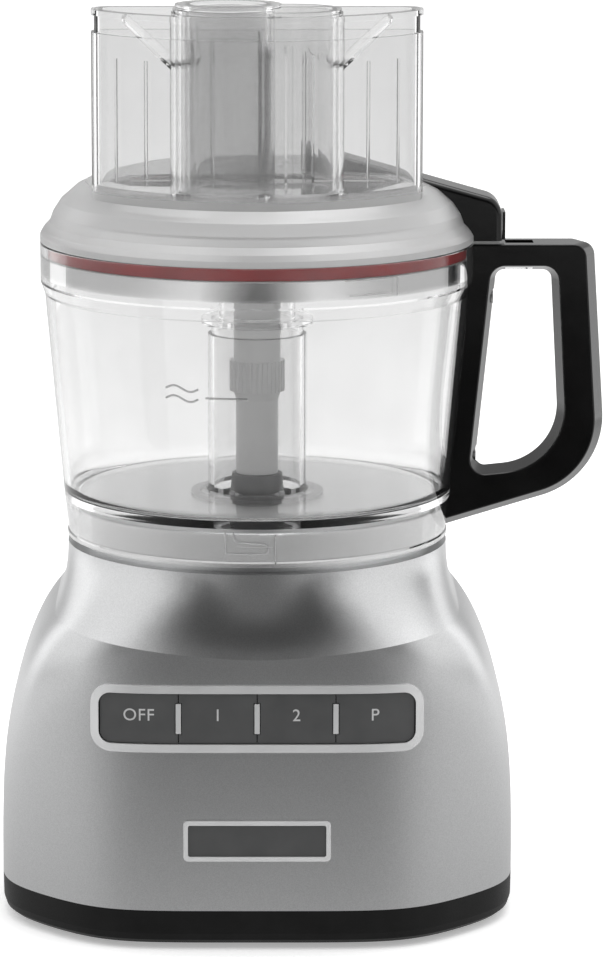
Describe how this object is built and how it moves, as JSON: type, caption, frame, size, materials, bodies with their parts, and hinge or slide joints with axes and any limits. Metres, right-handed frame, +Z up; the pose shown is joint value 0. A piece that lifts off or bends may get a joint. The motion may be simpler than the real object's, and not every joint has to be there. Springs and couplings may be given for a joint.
{
  "type": "food processor",
  "caption": "Countertop food processor: motor base with push buttons, clear twist-lock bowl with side handle, domed lid with wide feed tube and nested pushers.",
  "frame": {"origin": "on the drive axis, in the plane that the feet stand on", "axes": "+Z up along the drive axis; +X towards the bowl handle; -Y towards the user and the buttons"},
  "size_m": [0.2732, 0.1954, 0.4148],
  "materials": {
    "silver_paint": "satin metallic silver",
    "black_plastic": "gloss black",
    "black_matte": "fine matte black",
    "dark_grey": "satin dark grey",
    "chrome": "polished",
    "steel": "machined",
    "lamination": "dull stack",
    "cast_alloy": "cast",
    "copper": "enamelled wire",
    "rubber": "matte",
    "seal_red": "soft matte red",
    "clear_plastic": "clear, polished",
    "frosted_plastic": "frosted, translucent",
    "board_green": "circuit board",
    "white_plastic": "matte white"
  },
  "bodies": {
    "base": {"base_housing": "silver_paint", "base_tray": "black_matte", "rubber_feet": "rubber", "tray_screws": "steel", "bowl_seat": "silver_paint", "control_bezel": "chrome", "button_carrier": "black_matte", "separator_bars": "steel", "control_board": "board_green", "tact_switches": "black_matte", "badge_frame": "chrome", "badge_plate": "dark_grey", "cord_gland": "rubber", "chassis_plate": "steel", "spindle_tower": "cast_alloy", "spindle_bearings": "steel", "motor_stator": "lamination", "motor_windings": "copper", "motor_end_lower": "cast_alloy", "motor_end_upper": "cast_alloy", "motor_bearings": "steel", "brush_holders": "black_matte", "drive_belt": "rubber"},
    "rotor": {"rotor_shaft": "steel", "rotor_core": "lamination", "commutator": "copper", "cooling_fan": "white_plastic", "motor_pulley": "black_matte"},
    "spindle": {"drive_spindle": "steel", "drive_pulley": "black_matte", "drive_coupling": "dark_grey"},
    "gasket": {"bowl_gasket": "rubber"},
    "bowl": {"work_bowl": "clear_plastic", "bowl_handle": "black_plastic", "handle_screws": "steel", "interlock_spring": "steel"},
    "interlock": {"interlock_plunger": "black_matte"},
    "stem": {"drive_stem": "frosted_plastic", "knurled_ring": "frosted_plastic", "stem_collar": "clear_plastic"},
    "seal": {"lid_seal": "seal_red"},
    "lid": {"lid": "clear_plastic", "lid_arm": "black_plastic"},
    "large_pusher": {"large_pusher": "clear_plastic"},
    "medium_pusher": {"medium_pusher": "clear_plastic"},
    "small_pusher": {"small_pusher": "clear_plastic"},
    "button_off": {"button_off": "dark_grey"},
    "button_low": {"button_low": "dark_grey"},
    "button_high": {"button_high": "dark_grey"},
    "button_pulse": {"button_pulse": "dark_grey"}
  },
  "joints": [
    {"name": "rotor_spin", "type": "hinge", "parent": "base", "child": "rotor", "pos_m": [-0.05, 0, 0.08], "axis": [0, 0, 1], "continuous": true},
    {"name": "spindle_spin", "type": "hinge", "parent": "base", "child": "spindle", "pos_m": [0, 0, 0.1], "axis": [0, 0, 1], "continuous": true},
    {"name": "bowl_lift", "type": "slide", "parent": "base", "child": "gasket", "axis": [0, 0, 1], "range_m": [0, 0.12]},
    {"name": "bowl_turn", "type": "hinge", "parent": "gasket", "child": "bowl", "pos_m": [0, 0, 0.18], "axis": [0, 0, 1], "range_deg": [0, 30]},
    {"name": "stem_spin", "type": "hinge", "parent": "bowl", "child": "stem", "pos_m": [0, 0, 0.2], "axis": [0, 0, 1], "continuous": true},
    {"name": "interlock_slide", "type": "slide", "parent": "bowl", "child": "interlock", "axis": [0, 0, -1], "range_m": [0, 0.003], "stiffness_N_per_m": 300, "deforming": ["interlock_spring"]},
    {"name": "lid_lift", "type": "slide", "parent": "bowl", "child": "seal", "axis": [0, 0, 1], "range_m": [0, 0.06]},
    {"name": "lid_turn", "type": "hinge", "parent": "seal", "child": "lid", "pos_m": [0, 0, 0.3], "axis": [0, 0, 1], "range_deg": [0, 25]},
    {"name": "large_pusher_slide", "type": "slide", "parent": "lid", "child": "large_pusher", "axis": [0, 0, 1], "range_m": [0, 0.075]},
    {"name": "medium_pusher_slide", "type": "slide", "parent": "large_pusher", "child": "medium_pusher", "axis": [0, 0, 1], "range_m": [0, 0.07]},
    {"name": "small_pusher_slide", "type": "slide", "parent": "medium_pusher", "child": "small_pusher", "axis": [0, 0, 1], "range_m": [0, 0.07]},
    {"name": "button_off_press", "type": "slide", "parent": "base", "child": "button_off", "axis": [0, 1, 0], "range_m": [0, 0.0015], "stiffness_N_per_m": 800},
    {"name": "button_low_press", "type": "slide", "parent": "base", "child": "button_low", "axis": [0, 1, 0], "range_m": [0, 0.0015], "stiffness_N_per_m": 800},
    {"name": "button_high_press", "type": "slide", "parent": "base", "child": "button_high", "axis": [0, 1, 0], "range_m": [0, 0.0015], "stiffness_N_per_m": 800},
    {"name": "button_pulse_press", "type": "slide", "parent": "base", "child": "button_pulse", "axis": [0, 1, 0], "range_m": [0, 0.0015], "stiffness_N_per_m": 800}
  ],
  "couplings": [
    {"joint": "spindle_spin", "follows": "rotor_spin", "ratio": 0.25},
    {"joint": "stem_spin", "follows": "rotor_spin", "ratio": 0.25}
  ]
}
